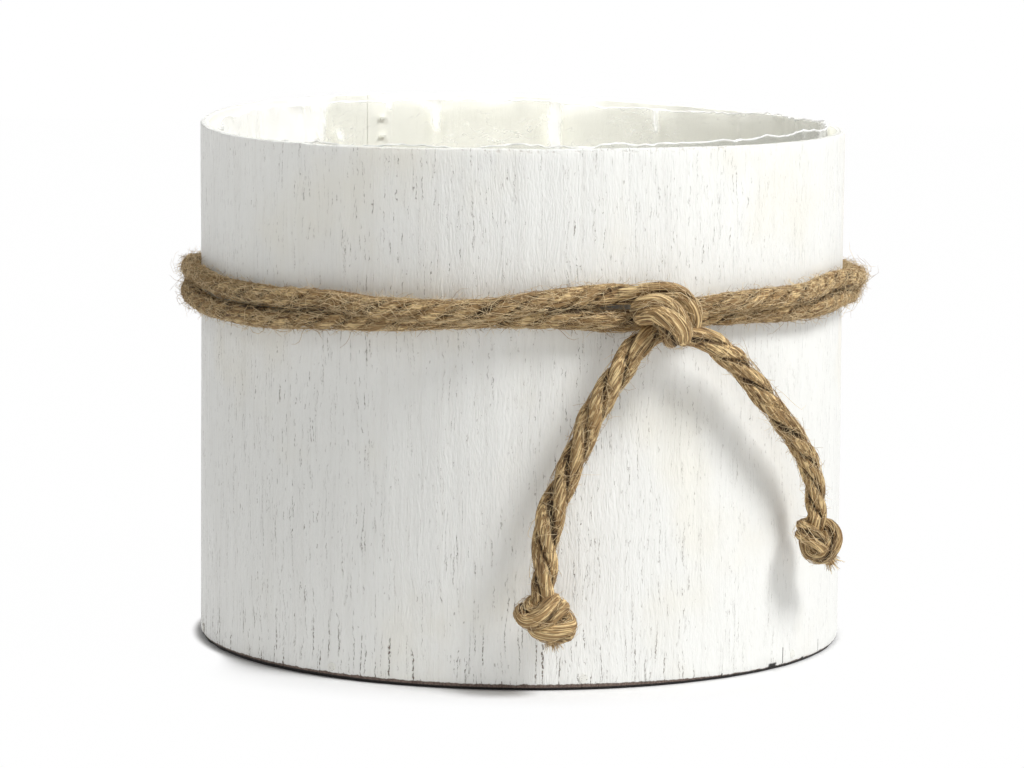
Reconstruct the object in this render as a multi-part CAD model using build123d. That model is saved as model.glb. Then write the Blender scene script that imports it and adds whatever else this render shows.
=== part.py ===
from build123d import *
import os
from math import atan2, cos, degrees, pi, radians, sin, sqrt, tan

os.makedirs("parts", exist_ok=True)

# Round bentwood pot: one thin strip of wood bent into a straight-walled drum, lapped and stapled,
# on a round base, with a clear film liner inside and a jute rope tied twice round the outside.
# Lengths are in millimetres. The origin is the centre of the underside, +Z is up,
# and the front, where the knot is seen, faces -Y.

# Driving sizes of the pot
outer_diameter = 150.0
pot_height = 120.0
wall_thickness = 2.0
lap_length = 25.0
lap_tip_thickness = 1.0
lap_ramp_length = 15.0
glue_gap = 0.1
seam_angle = 121.0  # degrees, the lap's edge inside the pot, back left

# Base, pins and staples
base_thickness = 5.0
base_fit = 0.05
base_edge_bevel = 0.5
pin_count = 8
pin_diameter = 1.0
pin_head_diameter = 1.9
pin_head_thickness = 0.3
pin_length = 11.0
pin_start_angle = 11.0  # degrees
staple_count = 6
staple_crown = 5.0
staple_wire_width = 0.6
staple_wire_thickness = 0.45
staple_tip_length = 1.4
staple_edge_distance = 4.0
staple_end_distance = 4.0

# Film liner, trimmed by eye, so that its edge stands a little proud of the rim on one side
film_thickness = 0.3
film_gap = 0.8
film_high_edge = 120.8
film_low_edge = 117.2
film_high_angle = -50.0  # degrees
film_foot_bevel = 2.0
film_fold_share = 0.022  # depth of a fold, as a share of the liner's radius
# Angles of the folds in degrees; the liner's corners stand midway between them
film_fold_angles = [20, 41, 62, 82, 105, 117, 140, 160, 181, 203, 224, 247, 268, 291, 313, 336, 358]

# Jute rope: two turns, knotted at the front right
rope_diameter = 5.0
rope_clearance = 0.35
lap_extra_clearance = 0.25
turn_gap = 0.45
band_height = 84.3
knot_angle = -66.5  # degrees
knot_half_length = 11.0
knot_strand_diameter = 3.9

# The two free ends of the rope, from the knot down to their stopper knots. Each place is taken
# from the middle of the knot: along the ring to the right, out from it, and up
tail_left_route = [
    (-8.4, 5.8, -7.1),
    (-12.5, 5.6, -13.3),
    (-17.3, 5.5, -21.3),
    (-20.2, 5.5, -29.1),
    (-23.3, 5.5, -36.6),
    (-26.2, 5.5, -44.7),
    (-26.9, 5.5, -52.2),
    (-27.1, 5.5, -59.8),
]
tail_right_route = [
    (9.3, 5.9, -7.0),
    (16.6, 5.6, -12.4),
    (21.4, 5.5, -17.9),
    (27.3, 5.5, -24.5),
    (33.1, 5.5, -30.4),
    (37.7, 5.5, -36.4),
    (40.0, 5.5, -42.8),
    (40.6, 5.5, -48.6),
]
tail_corner_share = 0.45  # of a run of the tail, used up by the bend at its end

# Stopper knots at the ends of the tails: the strand runs through, wrapped round by its own bight
stopper_strand_diameter = 4.2
stopper_gap = 0.4
stopper_wraps = 2
stopper_lean = 24.0  # degrees
stopper_stub_length = 1.8

outer_radius = outer_diameter / 2
inner_radius = outer_radius - wall_thickness
lap_rise = lap_tip_thickness + glue_gap
lap_angle = degrees(lap_length / outer_radius)
ramp_angle = degrees(lap_ramp_length / outer_radius)
turn_pitch = rope_diameter + turn_gap
ring_radius = outer_radius + rope_clearance + rope_diameter / 2


def polar(radius, angle):
    """A point of the plan, by its distance from the axis and its angle in degrees."""
    return Vector(radius * cos(radians(angle)), radius * sin(radians(angle)), 0)


def save(shape, name):
    export_step(shape, f"parts/{name}.step")


# Wall: the strip runs clockwise from its inner end, under the lap, once round the pot,
# up a short ramp and over its own beginning, where it ends in a thin tip


def bow(start_radius, start_angle, end_radius, end_angle):
    """One bent stretch of the strip's outline, with angles counted clockwise from the seam."""
    middle = (start_radius + end_radius) / 2, (start_angle + end_angle) / 2
    ends = (start_radius, start_angle), (end_radius, end_angle)
    first, second, last = (polar(r, seam_angle - a) for r, a in (ends[0], middle, ends[1]))
    return ThreePointArc(first, second, last)


def wall_outline():
    under = inner_radius + lap_rise
    over = outer_radius + lap_rise
    ramp_start = 360 - ramp_angle
    tip_angle = 360 + lap_angle
    inside = [bow(inner_radius, k * ramp_start / 4, inner_radius, (k + 1) * ramp_start / 4)
              for k in range(4)]
    inside += [bow(inner_radius, ramp_start, under, 360)]
    inside += [bow(under, 360, outer_radius + glue_gap, tip_angle)]
    round_step = (ramp_start - lap_angle) / 4
    outside = [bow(over, tip_angle, over, 360), bow(over, 360, outer_radius, ramp_start)]
    outside += [bow(outer_radius, ramp_start - k * round_step,
                    outer_radius, ramp_start - (k + 1) * round_step) for k in range(4)]
    outside += [bow(outer_radius, lap_angle, inner_radius + lap_tip_thickness, 0)]
    outer_tip = Line(inside[-1] @ 1, outside[0] @ 0)
    inner_tip = Line(outside[-1] @ 1, inside[0] @ 0)
    return make_face(Wire([*inside, outer_tip, *outside, inner_tip]))


wall_strip = extrude(wall_outline(), amount=pot_height, dir=(0, 0, 1))
save(wall_strip, "wall_strip")

# Base: a round board that the strip is bent and pinned round
base_disc = Cylinder(inner_radius - base_fit, base_thickness,
                     align=(Align.CENTER, Align.CENTER, Align.MIN))
base_disc = chamfer(base_disc.edges().group_by(Axis.Z)[-1], base_edge_bevel)
save(base_disc, "base_disc")

# Base pins: driven in from outside, with their flat heads on the wall
pin_profile = Polyline(
    (0, 0),
    (pin_head_diameter / 2, 0),
    (pin_head_diameter / 2, pin_head_thickness),
    (pin_diameter / 2, pin_head_thickness),
    (pin_diameter / 2, pin_length - pin_diameter),
    (0, pin_length),
    close=True,
)
pin = revolve(Plane.XZ * make_face(pin_profile), Axis.Z)
base_pins = []
for number in range(pin_count):
    angle = pin_start_angle + number * 360 / pin_count
    outward = polar(1, angle)
    head = outward * (outer_radius + pin_head_thickness) + Vector(0, 0, base_thickness / 2)
    base_pins.append(Plane(origin=head, z_dir=-outward) * pin)
save(Compound(base_pins), "base_pins")

# Seam staples: crowns stand upright on the lap outside, legs go through both layers and
# their tips are bent over inside
lap_outside = outer_radius + lap_rise
staple_row_angle = seam_angle - degrees(staple_edge_distance / inner_radius)
leg_length = lap_outside - inner_radius + 2 * staple_wire_thickness
leg_offset = (staple_crown - staple_wire_width) / 2
crown_box = Box(staple_wire_thickness, staple_wire_width, staple_crown,
                align=(Align.MIN, Align.CENTER, Align.CENTER))
leg_box = Box(leg_length, staple_wire_width, staple_wire_width,
              align=(Align.MAX, Align.CENTER, Align.CENTER))
tip_box = Box(staple_wire_thickness, staple_tip_length, staple_wire_width,
              align=(Align.MIN, Align.MIN, Align.CENTER))
staple = crown_box
for side in (-1, 1):
    staple += Pos(staple_wire_thickness, 0, side * leg_offset) * leg_box
    staple += Pos(staple_wire_thickness - leg_length, -staple_wire_width / 2,
                  side * leg_offset) * tip_box
first_staple_height = base_thickness + staple_end_distance + staple_crown / 2
last_staple_height = pot_height - staple_end_distance - staple_crown / 2
staple_step = (last_staple_height - first_staple_height) / (staple_count - 1)
seam_staples = []
for number in range(staple_count):
    height = first_staple_height + number * staple_step
    seam_staples.append(Rot(0, 0, staple_row_angle) * Pos(lap_outside, 0, height) * staple)
save(Compound(seam_staples), "seam_staples")

# Film liner: a thin clear cup that stands on the base and follows the wall in flat panels,
# folded inward where it was gathered
film_radius = inner_radius - film_gap
film_fold_depth = film_fold_share * film_radius
film_corners = []
for before, after in zip(film_fold_angles, film_fold_angles[1:] + [film_fold_angles[0] + 360]):
    film_corners.append(polar(film_radius - film_fold_depth, before))
    film_corners.append(polar(film_radius, (before + after) / 2))
film_outline = make_face(Polyline(*film_corners, close=True))
film_inline = offset(film_outline, amount=-film_thickness, kind=Kind.INTERSECTION)
film_blank = extrude(film_outline, amount=film_high_edge - base_thickness, dir=(0, 0, 1))
film_core = extrude(film_inline, amount=film_high_edge - base_thickness, dir=(0, 0, 1))
film_blank = chamfer(film_blank.edges().group_by(Axis.Z)[0], film_foot_bevel)
film_core = chamfer(film_core.edges().group_by(Axis.Z)[0], film_foot_bevel)
film_liner = film_blank - Pos(0, 0, film_thickness) * film_core
film_liner = Pos(0, 0, base_thickness) * film_liner
high_point = polar(film_radius, film_high_angle) + Vector(0, 0, film_high_edge)
low_point = polar(film_radius, film_high_angle + 180) + Vector(0, 0, film_low_edge)
along_trim = (high_point - low_point).normalized()
across_trim = polar(1, film_high_angle + 90)
trim_plane = Plane(origin=low_point, x_dir=along_trim, z_dir=along_trim.cross(across_trim))
film_liner = split(film_liner, bisect_by=trim_plane, keep=Keep.BOTTOM)
save(film_liner, "film_liner")


# Rope


def arc_or_line(start, tangent, end):
    chord = (end - start).normalized()
    if tangent.cross(chord).length < radians(0.01):
        return Edge.make_line(start, end)
    return Edge.make_tangent_arc(start, tangent, end)


def biarc_edges(start, start_dir, end, end_dir):
    """Two arcs that leave start along start_dir and reach end along end_dir."""
    chord = end - start
    both = start_dir + end_dir
    spread = 2 * (1 - start_dir.dot(end_dir))
    reach = chord.dot(both)
    if spread < radians(0.01) ** 2:
        arm = chord.dot(chord) / (2 * reach)
    else:
        arm = (sqrt(reach * reach + spread * chord.dot(chord)) - reach) / spread
    first_corner = start + start_dir * arm
    last_corner = end - end_dir * arm
    joint = (first_corner + last_corner) * 0.5
    middle_dir = (last_corner - first_corner).normalized()
    return [arc_or_line(start, start_dir, joint), arc_or_line(joint, middle_dir, end)]


def tube_through(points, tangents, diameter):
    """A round tube of arcs through the points, with the given direction at each of them."""
    edges = []
    for k in range(len(points) - 1):
        edges += biarc_edges(points[k], tangents[k], points[k + 1], tangents[k + 1])
    section = Plane(origin=points[0], z_dir=tangents[0]) * Circle(diameter / 2)
    return sweep(section, path=Wire(edges))


def smooth_tangents(points, first_dir, last_dir):
    inner = [(points[k + 1] - points[k - 1]).normalized() for k in range(1, len(points) - 1)]
    return [first_dir.normalized(), *inner, last_dir.normalized()]


# Rope winding: two turns of one tube. It starts at the knot's left in the upper turn, runs
# clockwise round the pot, passes behind the knot down to the lower turn and ends at its right
half_knot_angle = degrees(knot_half_length / ring_radius)
winding_start = knot_angle - half_knot_angle
winding_end = knot_angle + half_knot_angle
upper_height = band_height + turn_pitch / 2
lower_height = band_height - turn_pitch / 2
lap_ring_radius = ring_radius + lap_rise + lap_extra_clearance


def winding_stations():
    """Angle, radius and height of each station: the knot's sides and three quarter points."""
    quarter_angles = [winding_end - 90, winding_end - 180, winding_end - 270, winding_end - 360]
    quarter_radii = [ring_radius, lap_ring_radius, ring_radius, ring_radius]
    stations = []
    for turn, height in enumerate((upper_height, lower_height)):
        stations.append((winding_start - 360 * turn, ring_radius, height))
        for angle, radius in zip(quarter_angles, quarter_radii):
            stations.append((angle - 360 * turn, radius, height))
    return stations


winding_points = []
winding_tangents = []
for angle, radius, height in winding_stations():
    winding_points.append(polar(radius, angle) + Vector(0, 0, height))
    winding_tangents.append(polar(1, angle - 90))
rope_winding = tube_through(winding_points, winding_tangents, rope_diameter)
save(rope_winding, "rope_winding")


def least_gap(points, tangents, diameter, steps=30):
    """The narrowest gap between two turns of a tube, measured on points of its centre line."""
    line = []
    for k in range(len(points) - 1):
        for edge in biarc_edges(points[k], tangents[k], points[k + 1], tangents[k + 1]):
            line += [edge.position_at(step / steps) for step in range(steps)]
    line.append(points[-1])
    travelled = [0]
    for before, after in zip(line, line[1:]):
        travelled.append(travelled[-1] + (after - before).length)
    half_turn = travelled[-1] / 4
    near = [(line[i] - line[j]).length for i in range(len(line)) for j in range(i)
            if travelled[i] - travelled[j] > half_turn]
    return min(near) - diameter


print("winding's least gap to itself", round(least_gap(winding_points, winding_tangents, rope_diameter), 2))


def beside_knot(along, out, up):
    """A point near the knot: along the ring to the right, out from it, and up."""
    angle = knot_angle + degrees(along / ring_radius)
    return polar(ring_radius + out, angle) + Vector(0, 0, band_height + up)


# Knot: the two ends of the winding cross, wrap round each other and leave as the tails.
# The places are shares of the strand's diameter: along the ring, out from it, and up
bend_shares = [
    (-1.64, 0.41, 1.13),
    (-0.31, 1.18, 1.44),
    (0.82, 2.00, 0.97),
    (1.36, 2.26, 0.00),
    (1.28, 1.95, -0.82),
    (0.36, 1.38, -1.05),
    (-0.67, 1.31, -0.90),
    (-1.54, 1.46, -1.03),
]
wrap_shares = [
    (1.69, 0.74, -0.56),
    (0.56, 1.28, 0.10),
    (-0.67, 1.38, 0.31),
    (-1.69, 1.62, 0.46),
    (-1.95, 2.26, 0.56),
    (-1.18, 2.74, 0.72),
    (-0.26, 2.85, 0.56),
    (0.21, 2.87, -0.20),
    (0.26, 2.74, -1.18),
    (0.56, 2.30, -1.88),
    (1.44, 1.72, -2.03),
]


def knot_strand(start, start_dir, shares, route):
    middle = [beside_knot(*(share * knot_strand_diameter for share in place)) for place in shares]
    tail_start, tail_next = beside_knot(*route[0]), beside_knot(*route[1])
    points = [start, *middle, tail_start]
    tangents = smooth_tangents(points, start_dir, tail_next - tail_start)
    return tube_through(points, tangents, knot_strand_diameter)


knot_bend = knot_strand(winding_points[0], -winding_tangents[0], bend_shares, tail_left_route)
save(knot_bend, "knot_bend")
knot_wrap = knot_strand(winding_points[-1], winding_tangents[-1], wrap_shares, tail_right_route)
save(knot_wrap, "knot_wrap")


# Tails: straight runs joined by arcs as large as the two runs at each corner allow


def tail_tube(route, name):
    points = [beside_knot(*place) for place in route]
    radii = []
    for before, corner, after in zip(points, points[1:], points[2:]):
        turn = (corner - before).get_angle(after - corner)
        shorter = min((corner - before).length, (after - corner).length)
        radii.append(tail_corner_share * shorter / tan(radians(turn) / 2))
    print(name, "corner radii", [round(radius, 1) for radius in radii])
    path = FilletPolyline(*points, radius=radii)
    section = Plane(origin=points[0], z_dir=points[1] - points[0]) * Circle(rope_diameter / 2)
    tube = sweep(section, path=path)
    share = tube.volume / (pi * rope_diameter ** 2 / 4 * path.length)
    print(name, "length", round(path.length, 1), "volume against section times length", round(share, 4))
    return tube


for name, route in (("rope_tail_left", tail_left_route), ("rope_tail_right", tail_right_route)):
    save(tail_tube(route, name), name)


def stopper_knot(route, lean, hand):
    """The knot that ends a tail; lean tips it sideways and hand is the way its wraps turn."""
    last, before = beside_knot(*route[-1]), beside_knot(*route[-2])
    down = (last - before).normalized()
    out = polar(1, degrees(atan2(last.Y, last.X)))
    side = down.cross(out).normalized()
    out = side.cross(down).normalized()
    axis = down * cos(radians(lean)) + side * sin(radians(lean))
    across = side * cos(radians(lean)) - down * sin(radians(lean))
    wrap_pitch = wrap_radius = stopper_strand_diameter + stopper_gap
    half_wrap = wrap_pitch * stopper_wraps / 2
    half_core = half_wrap + stopper_strand_diameter / 2
    lead = stopper_strand_diameter / 4
    centre = last + down * lead + axis * half_core

    points, tangents = [], []
    for quarter in range(4 * stopper_wraps + 1):
        phase = (quarter - 1) * pi / 2 * hand
        spoke = across * cos(phase) + out * sin(phase)
        sweep_dir = (out * cos(phase) - across * sin(phase)) * hand
        points.append(centre + spoke * wrap_radius + axis * (wrap_pitch * quarter / 4 - half_wrap))
        tangents.append((sweep_dir * wrap_radius + axis * wrap_pitch / (2 * pi)).normalized())
    wrap = tube_through(points, tangents, stopper_strand_diameter)

    stub_end = centre + axis * half_core + down * (lead + stopper_stub_length)
    core_points = [last, centre - axis * half_wrap, centre + axis * half_wrap, stub_end]
    core = tube_through(core_points, [down, axis, axis, down], stopper_strand_diameter)
    return Compound([core, wrap])


save(stopper_knot(tail_left_route, stopper_lean, 1), "tail_knot_left")
save(stopper_knot(tail_right_route, -stopper_lean, -1), "tail_knot_right")
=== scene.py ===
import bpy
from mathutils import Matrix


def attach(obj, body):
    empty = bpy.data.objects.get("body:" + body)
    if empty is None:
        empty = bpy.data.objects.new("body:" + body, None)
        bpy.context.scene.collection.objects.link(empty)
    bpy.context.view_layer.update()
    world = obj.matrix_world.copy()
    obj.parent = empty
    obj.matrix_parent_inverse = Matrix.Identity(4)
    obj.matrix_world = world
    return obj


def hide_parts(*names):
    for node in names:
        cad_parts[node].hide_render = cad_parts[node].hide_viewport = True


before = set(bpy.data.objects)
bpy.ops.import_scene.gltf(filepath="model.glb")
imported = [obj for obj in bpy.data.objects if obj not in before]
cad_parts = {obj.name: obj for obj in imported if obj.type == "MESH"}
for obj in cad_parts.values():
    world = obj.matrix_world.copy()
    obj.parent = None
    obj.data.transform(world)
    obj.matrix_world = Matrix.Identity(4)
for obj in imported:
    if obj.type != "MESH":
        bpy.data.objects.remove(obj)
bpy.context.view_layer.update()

from math import cos, degrees, pi, radians, sin

import bmesh
import bpy
import numpy as np
from mathutils import Matrix, Vector

# Lengths are written in millimetres and turned into metres where a piece is made. Only the
# routes, lengths and diameter of the two rope ends and the places and sizes of lamps are in
# metres.

# Wall of the pot: one strip of thin veneer, planed to thin tips, bent into a drum and lapped at
# the back left. It is whitewashed over the open grain, so fine cracks and pores show through,
# and the paint has gone from the cut edges, most of all at the foot.
millimetre = 0.001
metre = 1000.0
outer_radius = 75.0
inner_radius = 73.0
pot_height = 120.0
lap_length = 25.0
lap_tip_thickness = 1.0
lap_ramp_length = 15.0
glue_gap = 0.1
seam_angle = 121.0
lap_rise = lap_tip_thickness + glue_gap
lap_turn = degrees(lap_length / outer_radius)
ramp_turn = degrees(lap_ramp_length / outer_radius)
feather_turn = 5.0
feather_share = 0.93
# How the rim swings up and down, as cosine and sine, once, twice and three times round
rim_swings = [(-0.71, 0.41), (-0.41, -0.66), (0.05, 0.15)]


def paint(red, green, blue):
    """A colour as it looks on a colour card, 0 to 255, as the numbers a shader takes."""
    card = np.array([red, green, blue]) / 255
    linear = np.where(card <= 0.04045, card / 12.92, ((card + 0.055) / 1.055) ** 2.4)
    return (*[float(x) for x in linear], 1.0)


class Coat:
    """What one socket of a finish gives, so that finishes can be written as plain sums. The
    owner is the material or the world whose nodes these are."""

    def __init__(self, owner, socket=None):
        self.owner = owner
        self.socket = socket

    def node(self, kind, settings=None, inputs=None, out=0):
        """Adds a node of any kind: its settings first, then the values or links it takes."""
        tree = self.owner.node_tree
        node = tree.nodes.new("ShaderNode" + kind)
        for name, value in (settings or {}).items():
            setattr(node, name, value)
        for name, value in (inputs or {}).items():
            if isinstance(value, Coat):
                tree.links.new(value.socket, node.inputs[name])
            else:
                node.inputs[name].default_value = value
        return Coat(self.owner, node.outputs[out] if node.outputs else None)

    def maths(self, operation, *values):
        return self.node("Math", {"operation": operation}, dict(enumerate(values)))

    def vector(self, operation, *others, out=0):
        values = dict(enumerate((self, *others)))
        return self.node("VectorMath", {"operation": operation}, values, out)

    def __add__(self, other):
        return self.maths("ADD", self, other)

    __radd__ = __add__

    def __sub__(self, other):
        return self.maths("SUBTRACT", self, other)

    def __rsub__(self, other):
        return self.maths("SUBTRACT", other, self)

    def __mul__(self, other):
        return self.maths("MULTIPLY", self, other)

    __rmul__ = __mul__

    def __truediv__(self, other):
        return self.maths("DIVIDE", self, other)

    def __pow__(self, other):
        return self.maths("POWER", self, other)

    def __abs__(self):
        return self.maths("ABSOLUTE", self)

    def most(self, other):
        return self.maths("MAXIMUM", self, other)

    def least(self, other):
        return self.maths("MINIMUM", self, other)

    def rise(self, low, high):
        """0 below low and 1 above high, with a soft step between; falls where high is lower."""
        return self.node("MapRange", {"interpolation_type": "SMOOTHSTEP"},
                         {"Value": self, "From Min": low, "From Max": high})

    def mark(self, name, vector=False):
        """What the mesh carries under this name at its points: a number, or a place."""
        return self.node("Attribute", {"attribute_name": name}, out=1 if vector else 2)

    def solid_place(self):
        """Where a point lies in the piece, in millimetres."""
        return self.node("TexCoord", out=3).stretched(metre, metre, metre)

    def from_axis(self):
        """How far these places are from the pot's axis."""
        return self.stretched(1, 1, 0).vector("LENGTH", out=1)

    def part(self, axis):
        return self.node("SeparateXYZ", inputs={0: self}, out=axis)

    def stretched(self, x, y, z, shift=(0.0, 0.0, 0.0)):
        """The same places on another scale, so that a pattern is drawn out."""
        return self.vector("MULTIPLY", (x, y, z)).moved(shift)

    def moved(self, offset):
        return self.vector("ADD", offset)

    def speckle(self, detail=2.0, roughness=0.5):
        """Soft random tone from 0 to 1 over these places."""
        return self.node("TexNoise", inputs={"Vector": self, "Scale": 1.0, "Detail": detail,
                                             "Roughness": roughness})

    def mixed(self, blend, share, under, top):
        """A Mix node for colours: its share is socket 0, its two colours are 6 and 7."""
        return self.node("Mix", {"data_type": "RGBA", "blend_type": blend},
                         {0: share, 6: under, 7: top}, out=2)

    def over(self, under, share):
        """This colour laid over another, as thick as share says."""
        return self.mixed("MIX", share, under, self)

    def times(self, other):
        return self.mixed("MULTIPLY", 1.0, self, other)

    def colour(self, *card):
        """A plain colour, as it looks on a colour card."""
        return self.mixed("MIX", 0.0, paint(*card), paint(*card))

    def grey(self):
        """A tone as a grey colour."""
        return self.node("CombineColor", inputs={0: self, 1: self, 2: self})

    def surface(self, colour, roughness, specular, heights, strength, more=None):
        """The plain shader, with bumps from heights in millimetres, so and so strong."""
        bumps = self.node("Bump", inputs={"Strength": strength, "Distance": millimetre,
                                          "Height": heights})
        return self.node("BsdfPrincipled", inputs={
            "Base Color": colour, "Roughness": roughness, "Specular IOR Level": specular,
            "Normal": bumps, **(more or {})})

    def finished(self, output="OutputMaterial"):
        """Shows this shader on the surface, and gives the finish."""
        self.node(output, inputs={"Surface": self})
        return self.owner


def begin(owner):
    """An empty finish for a new material or world."""
    owner.use_nodes = True
    owner.node_tree.nodes.clear()
    return Coat(owner)


def new_finish(name):
    return begin(bpy.data.materials.new(name))


lattice_size = 128


def waves(seed, across, along):
    """Soft random waves between -1 and 1, the same on every run."""
    lattice = np.random.default_rng(seed).uniform(-1, 1, (lattice_size, lattice_size))
    column, row = np.floor(across).astype(int), np.floor(along).astype(int)
    u, v = across - column, along - row
    u, v = u * u * (3 - 2 * u), v * v * (3 - 2 * v)

    def corner(i, j):
        return lattice[(column + i) % lattice_size, (row + j) % lattice_size]

    low = corner(0, 0) * (1 - u) + corner(1, 0) * u
    high = corner(0, 1) * (1 - u) + corner(1, 1) * u
    return low * (1 - v) + high * v


def on_ring(radius, bearing, height):
    """Points at a distance from the pot's axis, a bearing in radians and a height."""
    return np.stack([radius * np.cos(bearing), radius * np.sin(bearing), height], axis=1)


def grid_faces(rows, columns, round_columns=False):
    """Quads between the points of a grid that is stored row by row."""
    row, column = np.meshgrid(np.arange(rows - 1),
                              np.arange(columns if round_columns else columns - 1), indexing="ij")
    row, column = row.ravel(), column.ravel()
    after = (column + 1) % columns
    return np.stack([row * columns + column, row * columns + after,
                     (row + 1) * columns + after, (row + 1) * columns + column], axis=1)


def make_piece(name, points, faces, finish, body, marks, replaces):
    """A piece from points in millimetres, riding on a body and standing for CAD nodes."""
    mesh = bpy.data.meshes.new(name)
    mesh.from_pydata((np.asarray(points) * millimetre).tolist(), [],
                     [list(map(int, face)) for face in faces])
    for mark, values in marks.items():
        values = np.asarray(values, dtype=np.float32)
        kind = "FLOAT_VECTOR" if values.ndim == 2 else "FLOAT"
        layer = mesh.attributes.new(mark, kind, "POINT")
        layer.data.foreach_set("vector" if values.ndim == 2 else "value", values.ravel())
    mesh.shade_smooth()
    mesh.materials.append(finish)
    piece = bpy.data.objects.new(name, mesh)
    bpy.context.scene.collection.objects.link(piece)
    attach(piece, body)
    if replaces:
        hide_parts(*replaces)
    return piece


def dashes(place, wide, tall, half_width, half_reach, share, shift):
    """Short lines along the grain, one in each cell of a scatter, in a share of the cells. The
    cells are so wide and tall, and the lines at most so thick and long, in millimetres."""
    spot = place.stretched(1 / wide, 1 / tall, 1.0, (shift, shift * 0.7, 0.0))
    settings = {"voronoi_dimensions": "2D", "feature": "F1"}
    inputs = {"Vector": spot, "Scale": 1.0, "Randomness": 1.0}
    centre = place.node("TexVoronoi", settings, inputs, out=2)
    chance = place.node("TexVoronoi", settings, inputs, out=1)
    offset = spot.vector("SUBTRACT", centre)
    across = abs(offset.part(0)) * wide
    along = abs(offset.part(1)) * tall
    thick = chance.part(0) * half_width + 0.35 * half_width
    reach = chance.part(1) * half_reach + 0.3 * half_reach
    line = (across / thick).rise(1.0, 0.35) * (along / reach).rise(1.0, 0.55)
    return line * chance.part(2).rise(share, share - 0.08)


def strip_sides(turn):
    """Outer and inner radius of the strip, by the angle run clockwise from the seam."""
    stations = [0, lap_turn, 360 - ramp_turn, 360, 360 + lap_turn]
    outside = np.interp(turn, stations, [inner_radius + lap_tip_thickness, outer_radius,
                                         outer_radius, outer_radius + lap_rise,
                                         outer_radius + lap_rise])
    inside = np.interp(turn, stations, [inner_radius, inner_radius, inner_radius,
                                        inner_radius + lap_rise, outer_radius + glue_gap])
    feather = np.interp(turn, [0, feather_turn], [feather_share, 0]) * lap_tip_thickness
    return outside, inside + feather


def rim_sway(bearing):
    """How far the rim stands above its middle height, since the strip isn't cut quite straight."""
    return sum(cosine * np.cos(times * bearing) + sine * np.sin(times * bearing)
               for times, (cosine, sine) in enumerate(rim_swings, 1))


def wall_mesh(columns=760, outer_rows=58, inner_rows=22):
    """The strip's points, faces and grain marks: how far along it, how high, and whether a point
    is on the outside, 0, at the foot, 1, or on the inside, 2."""
    turn = np.linspace(0, 360 + lap_turn, columns)
    bearing = np.radians(seam_angle - turn)
    along = np.radians(turn) * outer_radius
    level = 0 * along

    def uneven(seed, size):
        return waves(seed, along / size, level)

    outside, inside = strip_sides(turn)
    thick = outside - inside
    exposed = np.interp(turn, [0, lap_turn, lap_turn + 1], [0.15, 0.15, 1])
    rim = pot_height + 0.07 * uneven(3, 9) + 0.04 * uneven(4, 1.7)
    rim = rim + rim_sway(bearing)
    worn = np.minimum(0.30 + 0.13 * uneven(5, 6) + 0.08 * uneven(6, 1.9), 0.4 * thick)
    inner_worn = np.minimum(0.28, 0.4 * thick)
    foot_height = 1.15 + 0.35 * uneven(7, 8) + 0.25 * uneven(8, 2.2)
    foot_depth = np.minimum(0.62 + 0.18 * uneven(9, 5), 0.7 * thick)

    rows = []
    for share in np.linspace(0, 1, outer_rows):
        height = foot_height + (rim - worn - foot_height) * share
        swell = 0.10 * waves(11, along / 3.1, height / 55)
        swell = swell + 0.14 * waves(12, along / 17, height / 40)
        swell = swell + 0.04 * waves(13, along / 1.1, height / 23)
        rows.append((outside + swell * exposed, height, level))
    top_swell = rows[-1][0] - outside
    for lift in (30, 60, 90):
        rows.append((outside + top_swell - worn * (1 - cos(radians(lift))),
                     rim - worn * (1 - sin(radians(lift))), level))
    for lift in (90, 45):
        rows.append((inside + inner_worn * (1 - cos(radians(lift))),
                     rim - inner_worn * (1 - sin(radians(lift))), level + 2))
    for share in np.linspace(0, 1, inner_rows):
        height = (rim - inner_worn) * (1 - share)
        swell = 0.08 * waves(14, along / 3.3, height / 60)
        rows.append((inside + swell * exposed, height, level + 2))
    rows.append((outside - foot_depth, level, level + 1))
    rows.append((outside - 0.35 * foot_depth, 0.42 * foot_height, level + 0.3))

    points = np.array([on_ring(radius, bearing, height) for radius, height, depth in rows])
    grain = np.array([np.stack([along, height, depth], axis=1) for radius, height, depth in rows])
    count = len(rows)
    faces = (grid_faces(count + 1, columns) % (count * columns)).tolist()
    for cap, order in ((0, 1), (1, -1)):
        start = count * (columns + cap)
        faces.append(list(range(start, start + count))[::order])
    points, grain = (np.concatenate([sheet.reshape(-1, 3), sheet[:, 0], sheet[:, -1]])
                     for sheet in (points, grain))
    return points, faces, grain


# Chips and splits of the foot: how far along the strip they are, how high, how far they reach
# The chips and splits are painted near-black, like the foot's painted contact shadow: painted
# shade in them
foot_chips = [(210.8, 1.7, 1.7), (197.5, 1.2, 0.7), (227.2, 1.4, 0.2), (207.0, 4.8, 0.16),
              (188.8, 3.9, 0.14)]


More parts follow.
